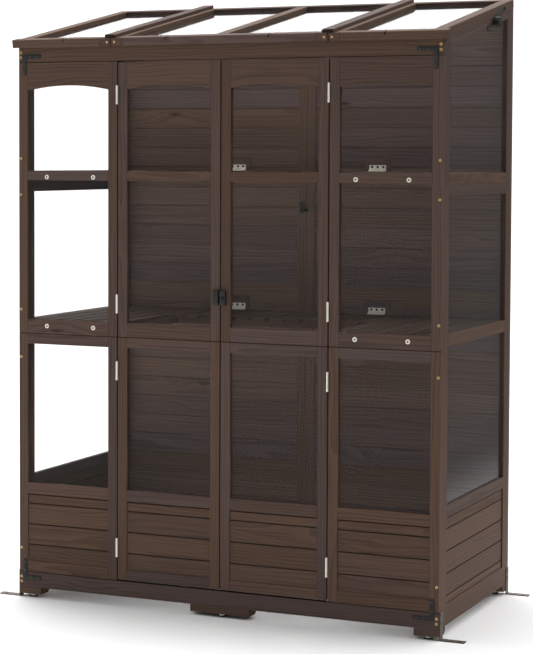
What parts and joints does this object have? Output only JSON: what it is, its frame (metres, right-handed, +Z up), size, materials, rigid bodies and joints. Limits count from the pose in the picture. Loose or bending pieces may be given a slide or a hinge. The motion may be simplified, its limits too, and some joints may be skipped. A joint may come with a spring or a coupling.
{
  "type": "wooden greenhouse cabinet",
  "caption": "Lean-to greenhouse cabinet of stained softwood with clear panes, a planked base, hinged double doors, lifting roof lights, slatted shelves and folding middle shelves.",
  "frame": {"origin": "on the ground, under the middle of the bounding box", "axes": "+Z up, +Y from the door side to the back wall, +X to the right as seen from the door side"},
  "size_m": [1.606, 0.7446, 1.9792],
  "materials": {
    "stained_fir": "dark stained, satin",
    "clear_sheet": "clear, smooth",
    "zinc_steel": "zinc plated",
    "nickel": "nickel plated",
    "rubber": "matte",
    "black_steel": "black powder coat",
    "brown_steel": "brown paint",
    "black_plastic": "matte",
    "brass": "yellow passivated"
  },
  "bodies": {
    "cabinet": {"back_frame": "stained_fir", "back_planks": "stained_fir", "corner_braces": "black_steel", "foot_blocks": "stained_fir", "front_left_lower_frame": "stained_fir", "front_left_upper_frame": "stained_fir", "front_right_lower_frame": "stained_fir", "front_right_upper_frame": "stained_fir", "front_skirt": "stained_fir", "glide_caps": "nickel", "glide_pads": "rubber", "ground_anchors": "brown_steel", "header_rail": "stained_fir", "hinge_leaves": "zinc_steel", "hinge_pins": "zinc_steel", "left_lower_shelf": "stained_fir", "left_side_frame": "stained_fir", "left_upper_shelf": "stained_fir", "panel_screws": "brass", "pivot_posts": "zinc_steel", "right_lower_shelf": "stained_fir", "right_side_frame": "stained_fir", "right_upper_shelf": "stained_fir", "roof_centre_frame": "stained_fir", "roof_centre_panes": "clear_sheet", "shelf_bolts": "zinc_steel", "shelf_cleats": "stained_fir", "wall_panes": "clear_sheet", "wall_planks": "stained_fir"},
    "left_door": {"left_door_lower_frame": "stained_fir", "left_door_upper_frame": "stained_fir", "left_door_planks": "stained_fir", "left_door_panes": "clear_sheet", "left_door_hardware": "zinc_steel", "latch_keeper": "black_steel"},
    "right_door": {"right_door_lower_frame": "stained_fir", "right_door_upper_frame": "stained_fir", "right_door_planks": "stained_fir", "right_door_panes": "clear_sheet", "right_door_hardware": "zinc_steel", "latch_guide": "black_steel"},
    "bolt": {"latch_bolt": "black_steel"},
    "left_skylight": {"left_skylight_frame": "stained_fir", "left_skylight_pane": "clear_sheet", "left_roof_batten": "stained_fir", "left_skylight_hardware": "zinc_steel"},
    "right_skylight": {"right_skylight_frame": "stained_fir", "right_skylight_pane": "clear_sheet", "right_roof_batten": "stained_fir", "right_skylight_hardware": "zinc_steel"},
    "left_stay": {"left_stay_arm": "black_steel"},
    "right_stay": {"right_stay_arm": "black_steel"},
    "left_knob": {"left_stay_knob": "black_plastic"},
    "right_knob": {"right_stay_knob": "black_plastic"},
    "lower_shelf": {"lower_fold_shelf": "stained_fir", "lower_fold_shelf_leaves": "zinc_steel"},
    "upper_shelf": {"upper_fold_shelf": "stained_fir", "upper_fold_shelf_leaves": "zinc_steel"},
    "lower_button": {"lower_turn_button": "zinc_steel"},
    "upper_button": {"upper_turn_button": "zinc_steel"}
  },
  "joints": [
    {"name": "left_door_hinge", "type": "hinge", "parent": "cabinet", "child": "left_door", "pos_m": [-0.3625, -0.35883, 0.87], "axis": [0, 0, -1], "range_deg": [0, 110]},
    {"name": "right_door_hinge", "type": "hinge", "parent": "cabinet", "child": "right_door", "pos_m": [0.3625, -0.35883, 0.87], "axis": [0, 0, 1], "range_deg": [0, 110]},
    {"name": "latch_slide", "type": "slide", "parent": "right_door", "child": "bolt", "axis": [-1, 0, 0], "range_m": [0, 0.011]},
    {"name": "left_skylight_hinge", "type": "hinge", "parent": "cabinet", "child": "left_skylight", "pos_m": [-0.5535, 0.36878, 1.94325], "axis": [-1, 0, 0], "range_deg": [0, 20]},
    {"name": "right_skylight_hinge", "type": "hinge", "parent": "cabinet", "child": "right_skylight", "pos_m": [0.544, 0.36878, 1.94325], "axis": [-1, 0, 0], "range_deg": [0, 20]},
    {"name": "left_stay_pivot", "type": "hinge", "parent": "left_skylight", "child": "left_stay", "pos_m": [-0.7265, 0.24966, 1.93308], "axis": [1, 0, 0], "range_deg": [0, 36]},
    {"name": "right_stay_pivot", "type": "hinge", "parent": "right_skylight", "child": "right_stay", "pos_m": [0.7265, 0.24966, 1.93308], "axis": [1, 0, 0], "range_deg": [0, 36]},
    {"name": "left_knob_turn", "type": "hinge", "parent": "cabinet", "child": "left_knob", "pos_m": [-0.726, 0.13997, 1.88291], "axis": [-1, 0, 0], "range_deg": [0, 360]},
    {"name": "right_knob_turn", "type": "hinge", "parent": "cabinet", "child": "right_knob", "pos_m": [0.726, 0.13997, 1.88291], "axis": [1, 0, 0], "range_deg": [0, 360]},
    {"name": "lower_shelf_hinge", "type": "hinge", "parent": "cabinet", "child": "lower_shelf", "pos_m": [0, 0.34318, 0.9198], "axis": [-1, 0, 0], "range_deg": [0, 90]},
    {"name": "upper_shelf_hinge", "type": "hinge", "parent": "cabinet", "child": "upper_shelf", "pos_m": [0, 0.34318, 1.4038], "axis": [-1, 0, 0], "range_deg": [0, 90]},
    {"name": "lower_button_turn", "type": "hinge", "parent": "cabinet", "child": "lower_button", "pos_m": [0, 0.30538, 1.2658], "axis": [0, 1, 0], "range_deg": [0, 180]},
    {"name": "upper_button_turn", "type": "hinge", "parent": "cabinet", "child": "upper_button", "pos_m": [0, 0.30538, 1.7498], "axis": [0, 1, 0], "range_deg": [0, 180]}
  ],
  "couplings": [
    {"joint": "left_stay_pivot", "follows": "left_skylight_hinge", "ratio": 1.75},
    {"joint": "right_stay_pivot", "follows": "right_skylight_hinge", "ratio": 1.75}
  ]
}
